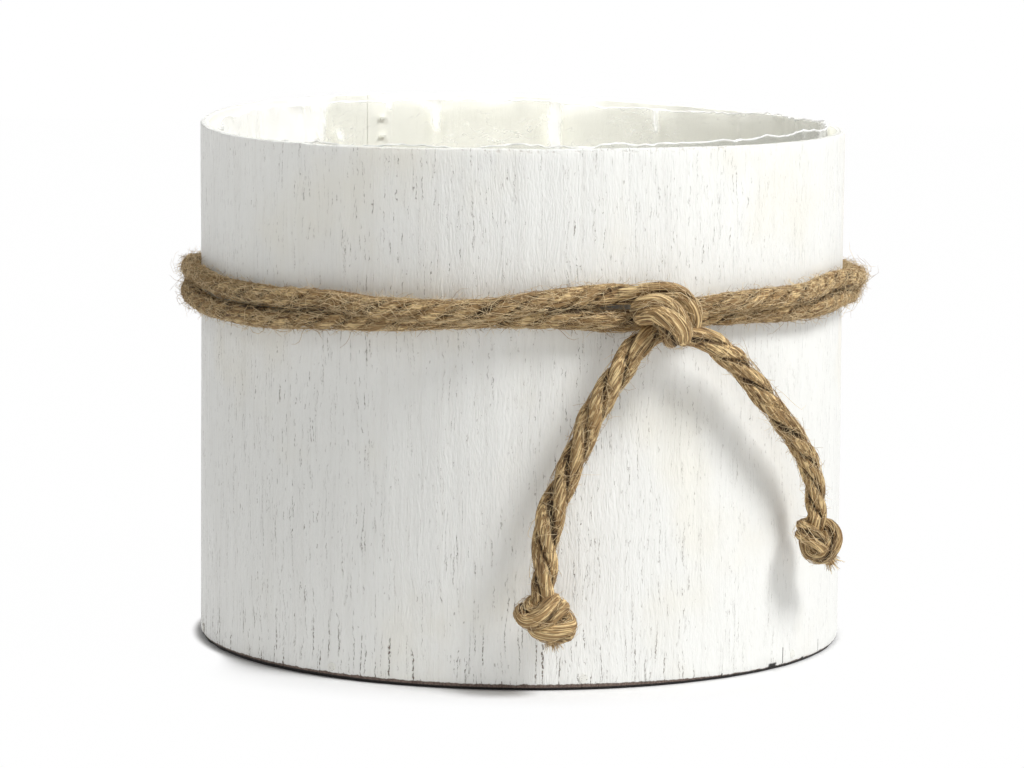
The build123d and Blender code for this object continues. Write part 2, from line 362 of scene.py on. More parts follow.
def whitewash():
    coat = new_finish("whitewash_on_open_grain")
    place = coat.mark("strip", vector=True)
    along, height = place.part(0), place.part(1)
    inward = place.part(2).rise(0.9, 1.4)
    outward = 1 - inward

    # The grain bends as a whole, and its torn lines are jagged besides
    sway = (place.stretched(0.11, 0.045, 0.7).speckle(2.0) - 0.5) * 3.2
    sway = sway + (place.stretched(0.6, 0.16, 0.7).speckle(1.0) - 0.5) * 0.6
    bent = place.moved(place.node("CombineXYZ", inputs={0: sway}))
    jagged = sway + (place.stretched(1.6, 0.9, 0.7).speckle(2.0) - 0.5) * 0.85
    torn = place.moved(place.node("CombineXYZ", inputs={0: jagged}))

    # Open grain, from long cracks to pores, and the splits that rise from the foot at the left
    # Cracks and grey streaks are painted fainter on the right half, which the lamp lights: a
    # painted highlight on the lit side
    shaded_left_half = along.rise(205.0, 262.0)
    long_cracks = dashes(torn, 3.6, 22.0, 0.085, 8.0, 0.42, 3.1)
    cracks = dashes(torn, 2.0, 9.0, 0.085, 3.4, 0.42, 17.7)
    fine_cracks = dashes(torn, 1.0, 4.6, 0.07, 1.7, 0.44, 41.3)
    pores = dashes(torn, 1.5, 2.6, 0.11, 0.7, 0.20, 71.9)
    splits = dashes(torn, 2.7, 19.0, 0.17, 8.5, 1.0, 91.7) * height.rise(17.0, 6.0)
    crowding = bent.stretched(0.075, 0.012, 1.0, (7.0, 0.0, 0.0)).speckle(2.0).rise(0.40, 0.60)
    broken = torn.stretched(2.4, 1.15, 1.0).speckle(2.0).rise(0.40, 0.54)
    lines = long_cracks * (0.25 + 0.35 * height.rise(50.0, 8.0) + 0.30 * crowding)
    lines = lines.most(cracks * (0.15 + 0.20 * shaded_left_half + 0.65 * crowding))
    lines = lines.most(fine_cracks * (0.08 + 0.16 * shaded_left_half + 0.60 * crowding)).most(pores * 0.5)
    lines = lines.most(splits * (0.15 + 1.05 * shaded_left_half))
    lines = lines * (0.12 + 0.88 * broken) * (0.62 + 0.38 * shaded_left_half)
    lines = lines * (1 - 0.75 * inward)

    # Thin and thick places of the wash
    broad = bent.stretched(0.9, 0.022, 1.0).speckle(3.0, 0.6)
    narrow = bent.stretched(3.4, 0.075, 1.0).speckle(2.0, 0.6)
    brushed = place.stretched(0.10, 0.020, 1.0, (0.0, 3.0, 0.0)).speckle(3.0)
    cream = place.stretched(0.028, 0.022, 1.0, (11.0, 2.0, 0.0)).speckle(3.0).rise(0.52, 0.72)

    white = coat.colour(247, 247, 243)
    grey = coat.colour(229, 227, 221)
    straw = coat.colour(243, 238, 222)
    lining = coat.colour(252, 251, 240)
    streaks = broad.rise(0.45, 0.68) * 0.24 + narrow.rise(0.50, 0.75) * 0.16
    body = grey.over(white, streaks * (0.35 + 0.65 * shaded_left_half))
    body = straw.over(body, cream * 0.45)
    body = lining.over(body, inward * 0.75)
    body = body.times((0.965 + 0.05 * brushed).grey())
    umber = coat.colour(104, 86, 70)
    body = umber.over(body, (lines * 0.84).least(0.9))

    # Worn edges: bare wood along the rim, a raw band round the foot, and under it a near-black
    # painted contact shadow where the foot meets the floor
    nick = place.stretched(0.75, 0.9, 1.0, (5.0, 0.0, 0.0)).speckle(2.0, 0.6)
    rim_wear = height.rise(pot_height - 1.15, pot_height - 0.15) * nick.rise(0.56, 0.66) * outward
    bare = coat.colour(146, 124, 98)
    body = bare.over(body, rim_wear * 0.30)
    front = along.rise(215.0, 262.0) * along.rise(400.0, 345.0)
    ragged = place.stretched(0.33, 0.0, 0.0).speckle(4.0, 0.65) - 0.5 + (nick - 0.5) * 0.4
    foot = (height - 0.75 - 0.55 * front - ragged).rise(0.12, -0.12) * outward
    raw_grain = bent.stretched(2.6, 1.4, 1.0).speckle(3.0, 0.7).rise(0.35, 0.65)
    raw = coat.colour(92, 76, 68).over(coat.colour(134, 116, 106), raw_grain)
    # Painted contact shadow: near-black at the very foot, reaching higher towards the left, away
    # from the lamp
    contact_shadow = (height - 0.25 * along.rise(285.0, 345.0)).rise(0.68, 0.50)
    for spot, top, reach in foot_chips:
        beside = (abs(along - spot) / reach).rise(1.0, 0.6)
        contact_shadow = contact_shadow.most(beside * height.rise(top, top - 0.4))
    body = coat.colour(24, 19, 17).over(raw.over(body, foot), contact_shadow * outward)

    # The brushed relief of the wash
    ridges = bent.stretched(1.9, 0.10, 1.0, (2.0, 0.0, 0.0)).speckle(3.0, 0.65)
    beads = bent.stretched(2.2, 0.42, 1.0, (4.0, 9.0, 0.0)).speckle(2.0, 0.6)
    height_map = (ridges * 0.18 + beads * 0.26 + narrow * 0.04) * (1 - 0.85 * inward)
    height_map = height_map - lines * 0.16 - foot * 0.15 - rim_wear * 0.1
    rough = 0.50 - ridges.rise(0.50, 0.66) * 0.26 + lines * 0.25 + foot * 0.25
    return coat.surface(body, rough, 0.45, height_map, 0.85).finished()


wall_points, wall_faces, wall_grain = wall_mesh()
wall = make_piece("wall_whitewashed", wall_points, wall_faces, whitewash(), "pot",
                  {"strip": wall_grain}, ["wall_strip"])
shell = bmesh.new()
shell.from_mesh(wall.data)
bmesh.ops.recalc_face_normals(shell, faces=shell.faces)
shell.to_mesh(wall.data)
shell.free()


# Base: a round board of pale softwood, sawn and left bare. The strip is bent round its edge, and
# it is seen from above through the film and from below.
def sawn_board():
    coat = new_finish("bare_sawn_board")
    place = coat.solid_place()
    bend = (place.stretched(0.02, 0.02, 0.02).speckle(2.0) - 0.5) * 9.0
    grain_place = place.moved(coat.node("CombineXYZ", inputs={1: bend}))
    rings = grain_place.stretched(0.012, 0.55, 0.2).speckle(3.0, 0.6)
    pores = grain_place.stretched(0.06, 3.2, 1.0).speckle(2.0, 0.7)
    saw = place.stretched(1.6, 0.03, 0.2).speckle(1.0)
    late = coat.colour(186, 148, 104)
    early = coat.colour(222, 192, 150)
    body = late.over(early, rings.rise(0.42, 0.62) * 0.75)
    body = coat.colour(140, 104, 70).over(body, pores.rise(0.62, 0.74) * 0.55)
    body = body.times((0.90 + 0.2 * saw).grey())
    height_map = rings * 0.08 - pores.rise(0.6, 0.75) * 0.12 + saw * 0.07
    return coat.surface(body, 0.66 + 0.14 * rings, 0.35, height_map, 0.8).finished()


def refinish(node, finish):
    """Gives a CAD node that keeps its shape a finish of its own."""
    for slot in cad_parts[node].material_slots:
        slot.material = finish


refinish("base_disc", sawn_board())


# Base pins: eight flat-headed steel pins driven through the wall into the base's edge, and
# whitewashed over with it.
metal_gloss = 0.5


def painted_head():
    coat = new_finish("whitewashed_steel_head")
    place = coat.solid_place()
    worn = place.stretched(1.9, 1.9, 1.9).speckle(4.0, 0.65)
    bare = worn.rise(0.60, 0.66)
    steel = coat.colour(120, 116, 110)
    rust = coat.colour(128, 92, 66)
    metal = rust.over(steel, worn.rise(0.66, 0.74))
    body = metal.over(coat.colour(238, 237, 230), bare)
    return coat.surface(body, 0.58 - 0.15 * bare, metal_gloss, worn * 0.08 - bare * 0.05, 0.8,
                        {"Metallic": bare * 0.8}).finished()


refinish("base_pins", painted_head())


# Seam staples: six flat-wire staples that hold the lap, with their tips clinched inside the pot.
# The whitewash has run over them and has worn off the crowns outside.
def staple_wire():
    coat = new_finish("dull_staple_wire")
    place = coat.solid_place()
    drawn = place.stretched(5.0, 5.0, 0.5).speckle(3.0, 0.6)
    stain = place.stretched(0.8, 0.8, 0.8).speckle(3.0, 0.6).rise(0.52, 0.68)
    crown = place.from_axis().rise(outer_radius + 0.4, outer_radius + 1.0)
    bare = place.stretched(1.3, 1.3, 1.3).speckle(3.0, 0.6)
    bare = bare.rise(0.66, 0.76).most(crown * bare.rise(0.30, 0.46))
    wire = coat.colour(128, 100, 76).over(coat.colour(164, 162, 156), stain * 0.7)
    body = wire.over(coat.colour(240, 239, 230), bare)
    body = body.times((0.85 + 0.3 * drawn).grey())
    return coat.surface(body, 0.55 - 0.15 * bare, metal_gloss, drawn * 0.03, 0.6,
                        {"Metallic": bare * 0.8}).finished()


refinish("seam_staples", staple_wire())


# Film liner: clear film pushed into the pot by hand and trimmed along the rim. It follows the
# wall in flat panels between its folds, is creased all over, and its edge stands a little proud
# of the rim at the front right.
# Its folds, its cut edge and two patches carry painted highlights: there it is painted white and
# glows faintly
film_radius = 72.05
film_floor = 5.25
film_foot_radius = 2.5
film_thickness = 0.2
film_high_angle = -50.0
film_edge_middle = 119.2
film_edge_tilt = 1.75
film_fold_depth = 1.59
film_fold_angles = [20, 41, 62, 82, 105, 117, 140, 160, 181, 203, 224, 247, 268, 291, 313, 336,
                    358]
film_behind_angle = 140.0
film_sheen_height = 113.0
cut_edge_shares = (0.9955, 0.998, 1.0)
# Painted highlights along the folds, where they catch the light: their bearing, half width in
# degrees and lower end; and painted sheen, reflections on the film in patches: their middle
# bearing and half width
film_highlight_strokes = [(62.1, 0.6, 113.0), (83.3, 1.3, 90.0), (107.6, 0.6, 112.5), (108.4, 2.4, 117.0),
                (118.0, 0.5, 118.0)]
film_sheens = [(156, 24), (3, 8)]


def panel_radius(bearing):
    """Radius of the liner's flat panels, which run between folds and the corners midway."""
    folds = film_fold_angles + [film_fold_angles[0] + 360]
    corners = []
    for before, after in zip(folds, folds[1:]):
        corners += [(before, film_radius - film_fold_depth), ((before + after) / 2, film_radius)]
    corners.append((folds[-1], film_radius - film_fold_depth))
    angle = (np.degrees(bearing) - folds[0]) % 360 + folds[0]
    radius = np.empty_like(angle)
    for (first, near), (last, far) in zip(corners, corners[1:]):
        here = (angle >= first) & (angle <= last)
        radius[here] = (near * far * sin(radians(last - first))
                        / (near * np.sin(np.radians(angle[here] - first))
                           + far * np.sin(np.radians(last - angle[here]))))
    return radius


def film_mesh(columns=544, floor_rows=14, wall_rows=60):
    """The liner's points and faces, and how much painted highlight it carries at each point."""
    bearing = np.linspace(0, 2 * pi, columns, endpoint=False)
    level = 0 * bearing
    panels = panel_radius(bearing)

    def degrees_off(angle):
        return (np.degrees(bearing) - angle + 180) % 360 - 180

    edge = film_edge_middle + film_edge_tilt * np.cos(bearing - radians(film_high_angle))
    behind = np.clip((np.cos(bearing - radians(film_behind_angle)) - 0.15) / 0.35, 0, 1)
    edge = edge + (pot_height + rim_sway(bearing) - 1.1 - edge) * behind
    period = lattice_size / columns * np.arange(columns)
    edge = edge + 0.45 * waves(21, period / 2, level) + 0.25 * waves(22, period * 2, level)
    off_sheen = [np.abs(degrees_off(middle)) / half for middle, half in film_sheens]

    rows = []
    for share in np.linspace(0.02, 1, floor_rows):
        radius = (panels - film_foot_radius) * share
        ripple = 0.4 * np.abs(waves(23, period, radius / 9))
        rows.append((radius, film_floor + ripple * min(1, share * 3)))
    for lift in (22, 45, 68):
        rows.append((panels - film_foot_radius * (1 - sin(radians(lift))),
                     film_floor + film_foot_radius * (1 - cos(radians(lift))) + level))
    # Painted highlight of each row; the floor rows have none
    folds = [level] * len(rows)
    for share in [*np.linspace(0, cut_edge_shares[0], wall_rows - 2), *cut_edge_shares[1:]]:
        height = film_floor + film_foot_radius + (edge - film_floor - film_foot_radius) * share
        skew = period + height / 14
        other = period - height / 11
        crease = 0.42 * (1 - np.abs(waves(25, skew, height / 13))) ** 5
        crease += 0.38 * (1 - np.abs(waves(26, other, height / 8))) ** 6
        near_edge = np.clip((height - 60) / 60, 0, 1) ** 1.5
        wrinkle = 0.25 * (1 - np.abs(waves(27, period / 2, height / 3.2))) ** 4 * near_edge
        pleat, painted_highlight = 0 * bearing, 0 * bearing
        for fold_and_glint in film_fold_angles:
            off = degrees_off(fold_and_glint) + 1.2 * waves(29, height / 19, level + fold_and_glint)
            ridge = np.exp(-(off / 0.8) ** 2) * np.clip((height - 88 - 14 * cos(fold_and_glint)) / 20, 0, 1)
            pleat += 0.6 * ridge
            painted_highlight += 0.25 * ridge
        ragged = 0.5 * waves(30, period * 0.9, height / 4)
        ragged = ragged + 0.3 * waves(31, period * 2.2, height / 2)
        # Painted sheen: reflections on the film, painted as white patches
        for off in off_sheen:
            lit = 1.25 - off ** 2 + ragged - np.abs(height - film_sheen_height) / 14
            painted_highlight += np.clip(lit * 4, 0, 1) * (off < 1.8)
        # Painted highlights along the folds, where they catch the light
        for stroke, half, foot in film_highlight_strokes:
            off = np.abs(np.degrees(bearing) - stroke) / half
            above = np.clip((height - foot) / 1.5, 0, 1)
            painted_highlight += np.clip(2 - 1.6 * off + ragged, 0, 1) * above * (off < 3)
        # A painted glint along the cut edge
        painted_highlight += np.interp(share, cut_edge_shares, [0, 0.8, 1])
        held = np.clip((height - film_floor - film_foot_radius) / 6, 0, 1)
        rows.append((panels - (crease + wrinkle + pleat) * held, height))
        folds.append(np.clip(painted_highlight, 0, 1) ** 2)
    points = np.array([on_ring(radius, bearing, height + level) for radius, height in rows])
    middle = len(rows) * columns
    faces = grid_faces(len(rows), columns, round_columns=True).tolist()
    faces += [[middle, (k + 1) % columns, k] for k in range(columns)]
    points = np.concatenate([points.reshape(-1, 3), [[0, 0, film_floor]]])
    return points, faces, np.concatenate([np.concatenate(folds), [0]])


def clear_film():
    coat = new_finish("clear_creased_film")
    place = coat.solid_place()
    fold_and_glint = coat.mark("fold_and_glint")
    haze = place.stretched(0.05, 0.05, 0.10).speckle(4.0, 0.7)
    bent = place.moved(place.stretched(0.16, 0.16, 0.16).speckle(2.0) * 6.0)
    crazing = bent.stretched(0.10, 0.10, 0.24).speckle(3.0, 0.6)
    ridge = (abs(crazing - 0.5) * 2).rise(0.035, 0.0) * haze.rise(0.42, 0.60)
    glance = coat.node("LayerWeight", inputs={"Blend": 0.30}, out=1)
    creases = (crazing * 0.5 + ridge * 0.1) * (1 - 0.8 * fold_and_glint)
    # Where it carries painted highlights, the film is painted white and glows faintly, though it
    # is no lamp
    shine = coat.surface(paint(253, 253, 250), 0.10 + 0.16 * haze, 0.75, creases, 1.0,
                         {"Emission Color": fold_and_glint.grey(), "Emission Strength": 0.10})
    clear = coat.node("BsdfTransparent", inputs={"Color": (0.995, 0.995, 0.99, 1.0)})
    share = (0.02 + haze.rise(0.48, 0.72) * 0.07 + 0.20 * ridge + 0.9 * fold_and_glint
             + 0.35 * glance ** 3.0).least(0.92)
    shadow_ray = coat.node("LightPath", out=1)
    share = share * (1 - 0.8 * shadow_ray)
    return coat.node("MixShader", inputs={0: share, 1: clear, 2: shine}).finished()


film_points, film_faces, film_glints = film_mesh()
film = make_piece("film_liner_creased", film_points, film_faces, clear_film(), "pot",
                  {"fold_and_glint": film_glints}, ["film_liner"])
film_body = film.modifiers.new("film_thickness", "SOLIDIFY")
film_body.thickness = film_thickness * millimetre
film_body.offset = 0.0


# Jute rope, two turns round the pot: three plies laid up to the left, each a bundle of long
# fibres that run nearly along the rope. It is hairy, and the upper turn rides over the lower
# one beside the knot.
rope_radius = 2.5
ply_radius = 1.30
ply_offset = 1.22
rope_lay = 19.5
end_run = 4.0
ring_radius = 77.3
band_height = 84.3
knot_angle = -66.5
knot_half_turn = 8.1
smooth_steps = 24


def way_along(points, power=1.0):
    """How far along a line each point is, with its steps raised to a power."""
    steps = np.linalg.norm(np.diff(points, axis=0), axis=1) ** power
    return np.concatenate([[0], np.cumsum(steps)])


def read_along(at, run, field):
    """The vectors of a field at distances along a line."""
    return np.stack([np.interp(at, run, field[:, k]) for k in range(3)], axis=-1)


def even_line(line, step):
    """A line's points again, at even steps, with the distance run at each."""
    run = way_along(line)
    at = np.linspace(0, run[-1], max(int(run[-1] / step), 4) + 1)
    return read_along(at, run, line), at


def smooth_through(points):
    """A smooth line through all the points."""
    points = np.asarray(points, dtype=float)
    knots = way_along(points, 0.7)
    slope = np.gradient(points, knots, axis=0)
    line = []
    for k in range(len(points) - 1):
        gap = knots[k + 1] - knots[k]
        t = np.linspace(0, 1, smooth_steps, endpoint=False)[:, None]
        line.append((2 * t**3 - 3 * t**2 + 1) * points[k] + (t**3 - 2 * t**2 + t) * gap * slope[k]
                    + (3 * t**2 - 2 * t**3) * points[k + 1] + (t**3 - t**2) * gap * slope[k + 1])
    return np.concatenate([*line, points[-1:]])


def unit(vectors):
    return vectors / np.linalg.norm(vectors, axis=-1, keepdims=True)


class Strand:
    """A stretch of the rope: its middle line, the directions across it, carried along without
    twist, how thick it is at shares of its length, and how far its plies have turned. A stretch
    may go on from the end of another, or backwards from its start, and meets it without a joint.
    Slack plies stand apart by so many millimetres. Near its ends a stretch is calm: 0 to 1."""

    def __init__(self, line, thickness, lay=rope_lay, after=None, back=False, step=0.8, slack=0.0):
        self.line, self.at = even_line(np.asarray(line, dtype=float), step)
        self.along = unit(np.gradient(self.line, axis=0))
        stations, side, turned = list(thickness), self.line[0] * [1, 1, 0], 0.0
        self.sense, place = 1, 0.0
        if after:
            joint, self.sense = (0, -after.sense) if back else (-1, after.sense)
            place, side = after.place[joint], after.side[joint]
            turned = -after.turned[0] if back else after.turned[-1]
            self.along[0] = -after.along[0] if back else after.along[-1]
            stations = [(0, after.thick[joint]), *stations]
        self.place = place + self.sense * self.at
        self.thick = np.interp(self.at / self.at[-1], *zip(*stations))
        self.turned = turned - 2 * pi * self.at / lay
        self.calm = np.clip(np.minimum(self.at, self.at[-1] - self.at) / end_run, 0, 1)
        self.slack = slack * self.calm
        self.side = np.empty_like(self.line)
        for k, tangent in enumerate(self.along):
            side = side - tangent * side.dot(tangent)
            side = side / np.linalg.norm(side)
            self.side[k] = side
        self.cross = np.cross(self.along, self.side)

    def spot(self, at, angle, radius, lift):
        """The place at a distance along, an angle round, and a radius and a lift out."""
        middle, side, cross = (read_along(at, self.at, field)
                               for field in (self.line, self.side, self.cross))
        away = np.cos(angle)[..., None] * side + np.sin(angle)[..., None] * cross
        return middle + away * (radius * np.interp(at, self.at, self.thick) + lift)[..., None]


def wall_face(points):
    """Radius of the wall's outside next to each point, the lap's thicker stretch included."""
    turn = (seam_angle - np.degrees(np.arctan2(points[..., 1], points[..., 0]))) % 360
    stations = [0, lap_turn, lap_turn + 0.3, 360 - ramp_turn, 360]
    return outer_radius + lap_rise * np.interp(turn, stations, [1, 1, 0, 0, 1])


def press_on_wall(points):
    """Flattens a rope's underside where it is pulled tight on the wall."""
    out = np.hypot(points[:, 0], points[:, 1])
    least = wall_face(points) + 0.12
    return points * np.where(out < least, least / out, 1.0)[:, None] ** [1, 1, 0]


def lay_plies(strand, seed, sides=24):
    """Three plies round the strand's middle line: points, faces and marks for the finish."""
    count = len(strand.at)

    def uneven(seed, size):
        return waves(seed, strand.at / size, 0 * strand.at)

    points, fibre, hollow, quads = [], [], [], []
    for ply in range(3):
        turn = strand.turned + 2 * pi * ply / 3 + 0.45 * uneven(seed + ply, 19) * strand.calm
        thick = strand.thick * (1 + 0.14 * uneven(seed + 10 + ply, 6) * strand.calm)
        offset = (ply_offset + strand.slack) * strand.thick
        sway = [2.6 * uneven(seed + k + ply, 9) * strand.calm for k in (20, 30)]
        for spoke in np.linspace(0, 2 * pi, sides, endpoint=False):
            furrow = 0.075 * np.cos(7 * (turn + spoke) + sway[0])
            furrow = furrow + 0.05 * np.cos(10 * (turn + spoke) + sway[1])
            reach_out = ((ply_radius - 0.8 * strand.slack) * thick + furrow) * cos(spoke)
            reach_side = ((1.1 * ply_radius - strand.slack) * thick + furrow) * sin(spoke)
            x = (offset + reach_out) * np.cos(turn) - reach_side * np.sin(turn)
            y = (offset + reach_out) * np.sin(turn) + reach_side * np.cos(turn)
            points.append(strand.line + x[:, None] * strand.side + y[:, None] * strand.cross)
            fibre.append(np.stack([x, y * strand.sense, strand.place], axis=1))
            # How far out from the rope's middle a point lies; the finish paints shade where this
            # is low
            hollow.append(np.hypot(x, y) / (rope_radius * strand.thick) + furrow)
        sheet = np.arange(sides * count).reshape(sides, count) + ply * sides * count
        after = np.roll(sheet, -1, axis=0)
        quads += np.stack([sheet[:, :-1], after[:, :-1], after[:, 1:], sheet[:, 1:]],
                          axis=-1).reshape(-1, 4).tolist()
        quads += [sheet[:, 0].tolist(), sheet[::-1, -1].tolist()]
    return (press_on_wall(np.concatenate(points)), quads,
            {"fibre": np.concatenate(fibre), "hollow": np.concatenate(hollow)})


def join_meshes(*parts):
    """Several sets of points, faces and marks as one."""
    points, faces, marks, first = [], [], {}, 0
    for part_points, part_faces, part_marks in parts:
        points.append(part_points)
        faces += [[index + first for index in face] for face in part_faces]
        for name, values in part_marks.items():
            marks.setdefault(name, []).append(values)
        first += len(part_points)
    return np.concatenate(points), faces, {name: np.concatenate(v) for name, v in marks.items()}


def jute():
    coat = new_finish("jute_plies")
    place = coat.mark("fibre", vector=True)
    hollow = coat.mark("hollow")
    bundles = place.stretched(1.0, 1.0, 0.08).speckle(2.0, 0.6)
    strands = place.stretched(2.2, 2.2, 0.10).speckle(1.5, 0.6)
    hairs = place.stretched(4.2, 4.2, 0.18).speckle(1.0, 0.5)
    patches = place.stretched(0.22, 0.22, 0.055).speckle(2.0)
    straw = coat.colour(240, 211, 157)
    tan = coat.colour(168, 136, 92)
    brown = coat.colour(82, 58, 36)
    # Pale straw on the raised strands is partly the fibres' own colour and partly painted
    # highlight; brown in the furrows between bundles is partly darker fibres and partly painted
    # shade
    body = straw.over(tan, strands.rise(0.47, 0.58))
    furrows = (bundles.rise(0.50, 0.34) * 0.45 + hairs.rise(0.48, 0.38) * 0.60).least(1.0)
    body = brown.over(body, furrows).times((0.60 + 0.72 * patches).grey())
    # Painted shade: the rope is painted darker towards the left, away from the lamp
    painted_shade_left = coat.solid_place().part(0).least(0.0) * 0.003
    body = body.times((0.98 + painted_shade_left).grey())
    # Painted shade in the valleys between the plies, and in the cleft between the turns
    deep = hollow.rise(0.87, 0.60)
    body = coat.colour(48, 34, 23).over(body, deep * 0.88)
    height_map = strands * 0.26 + hairs * 0.12 + bundles * 0.20
    return coat.surface(body, 0.84 - 0.22 * hairs, 0.30, height_map, 1.0).finished()


def jute_hair():
    coat = new_finish("jute_hairs")
    tone = coat.mark("tone").rise(0.1, 0.85)
    place = coat.solid_place()
    blotch = place.stretched(0.9, 0.9, 0.9).speckle(2.0, 0.6)
    body = coat.colour(238, 216, 174).over(coat.colour(162, 130, 88), tone)
    body = body.times((0.82 + 0.36 * blotch).grey())
    return coat.surface(body, 0.60 + 0.2 * blotch, 0.35, blotch * 0.02, 0.5).finished()


jute_finish, hair_finish = jute(), jute_hair()


def make_rope_piece(name, parts, finish, *nodes):
    """A piece of the rope, from its points, faces and marks."""
    points, faces, marks = parts
    return make_piece(name, points, faces, finish, "cord_band", marks, nodes)


def hair_tubes(paths, thick, tones):
    """Thin three-sided tubes along paths of points, thinner towards their ends."""
    count, beads = paths.shape[:2]
    along = unit(np.gradient(paths, axis=1) + 1e-9)
    lean = np.array([0.31, 0.27, 0.91])
    side = unit(np.cross(along, lean))
    cross = np.cross(along, side)
    shrink = np.interp(np.linspace(0, 1, beads), [0, 0.15, 0.7, 1], [0.7, 1, 0.9, 0.45])
    points = []
    for corner in range(3):
        spoke = 2 * pi * corner / 3
        points.append(paths + (cos(spoke) * side + sin(spoke) * cross)
                      * (thick[:, None] * shrink)[..., None])
    points = np.stack(points, axis=2).reshape(-1, 3)
    index = np.arange(count * beads * 3).reshape(count, beads, 3)
    after = np.roll(index, -1, axis=2)
    faces = np.stack([index[:, :-1], after[:, :-1], after[:, 1:], index[:, 1:]], axis=-1)
    return points, faces.reshape(-1, 4).tolist(), {"tone": np.repeat(tones, beads * 3)}


def wall_clear(paths, gap=0.25):
    """Which paths stay outside the wall."""
    return (np.hypot(paths[..., 0], paths[..., 1]) > wall_face(paths) + gap).all(axis=1)


def comb_out(strand, seed, per_mm, long, lift, slant, thick, radius, beads=6, tucked=False):
    """Stray hairs on a strand: lying on it where both ends are tucked, or standing off it."""
    rng = np.random.default_rng(seed)
    count = int(per_mm * strand.at[-1])
    length = rng.uniform(*long, count)
    start = rng.uniform(0, strand.at[-1], count)
    heading = rng.choice([-1.0, 1.0], count)
    lean = rng.normal(0, slant, count)
    share = np.linspace(0, 1, beads)[None, :]
    rise = lift * rng.random(count) ** 1.8
    shape = np.sin(pi * share) if tucked else share ** 1.4
    phase = rng.uniform(0, 2 * pi, (4, count))[..., None]
    wander = 0.10 * length[:, None] * share * np.sin(2 * pi * share * 0.8 + phase[0])
    at = start[:, None] + (heading * length * np.cos(lean))[:, None] * share + wander
    turn = phase[1] + (length * np.sin(lean))[:, None] * share / radius
    turn = turn + 0.10 * length[:, None] * share * np.sin(2 * pi * share * 1.1 + phase[2]) / radius
    lift_off = rise[:, None] * shape * (1 + 0.25 * np.sin(2 * pi * share + phase[3]))
    paths = strand.spot(at, turn, radius, lift_off)
    inside = (at > 0).all(axis=1) & (at < strand.at[-1]).all(axis=1)
    keep = inside & wall_clear(paths)
    thickness = rng.uniform(*thick, count)
    return hair_tubes(paths[keep], thickness[keep], rng.random(count)[keep])


def lying_hairs(strand, seed, per_mm=7.5):
    """Fibres that lie over the plies, most of them along the rope and some right across."""
    return join_meshes(
        comb_out(strand, seed, per_mm, long=(3, 12), lift=0.35, slant=0.40,
                 thick=(0.05, 0.095), radius=2.36, tucked=True),
        comb_out(strand, seed + 1, per_mm * 0.35, long=(2, 8), lift=0.6, slant=1.1,
                 thick=(0.045, 0.08), radius=2.4, tucked=True))


def standing_hairs(strand, seed, per_mm=18):
    """Short fuzz all over a strand, and a few long hairs that stand off it."""
    return join_meshes(
        comb_out(strand, seed, per_mm, long=(1.0, 3.8), lift=2.0, slant=1.0,
                 thick=(0.030, 0.050), radius=2.2, beads=4),
        comb_out(strand, seed + 1, per_mm * 0.06, long=(5, 13), lift=4.0, slant=0.8,
                 thick=(0.035, 0.06), radius=2.2, beads=8))


def turn_heights(table):
    """Height of a turn at any bearing, from a table of bearings and heights."""
    stations, heights = zip(*table)
    return lambda bearing: np.interp(bearing, stations, heights)


# The upper turn starts at the knot's left, at -74.6, and goes round by the left and the back;
# the lower one follows it and ends at the knot's right.
upper_turn = turn_heights([
    (-434.6, 82.4), (-426.5, 83.6), (-418.4, 85.0), (-413, 85.4), (-408, 85.6), (-402, 85.5),
    (-396, 85.5), (-389, 86.2), (-385, 86.8), (-379, 86.8), (-371, 85.6), (-360, 84.3),
    (-345, 84.2), (-270, 85.0), (-205, 83.6), (-195, 84.1), (-188, 84.9), (-181, 85.9),
    (-174, 86.2), (-160, 86.0), (-148, 84.9), (-141, 85.1), (-132, 84.9), (-124, 85.6),
    (-116, 85.0), (-108, 84.8), (-102, 84.5), (-95, 85.3), (-90, 86.6), (-85, 87.2), (-79, 87.9),
    (-74.6, 88.3)])
lower_turn = turn_heights([
    (-418.4, 82.7), (-413, 82.9), (-408, 82.8), (-402, 82.3), (-396, 81.9), (-389, 81.7),
    (-384, 82.2), (-378, 82.4), (-360, 81.3), (-345, 81.0), (-270, 81.0), (-205, 80.4),
    (-195, 80.9), (-188, 81.1), (-170, 80.6), (-155, 79.8), (-147, 79.9), (-141, 79.8),
    (-135, 80.1), (-131, 80.5), (-126, 81.1), (-116, 81.8), (-110, 82.3), (-102, 83.2),
    (-95, 83.6), (-90, 83.6), (-86, 83.5), (-80, 83.1), (-74.6, 82.5)])


def soften(values, width):
    window = np.hanning(width + 2)[1:-1]
    padded = np.pad(values, width // 2, mode="edge")
    return np.convolve(padded, window / window.sum(), mode="valid")[:len(values)]


winding_points = 2816
riding_end = -418.4
closest_turns = 4.5
riding_share = 0.52
winding_start = knot_angle - knot_half_turn
winding_finish = knot_angle + knot_half_turn - 720
travel = np.linspace(winding_start, winding_finish, winding_points)
on_lower = travel < winding_start - 360
bearing = np.where(on_lower, travel + 360, travel)
heights = np.where(on_lower, lower_turn(bearing), upper_turn(bearing))
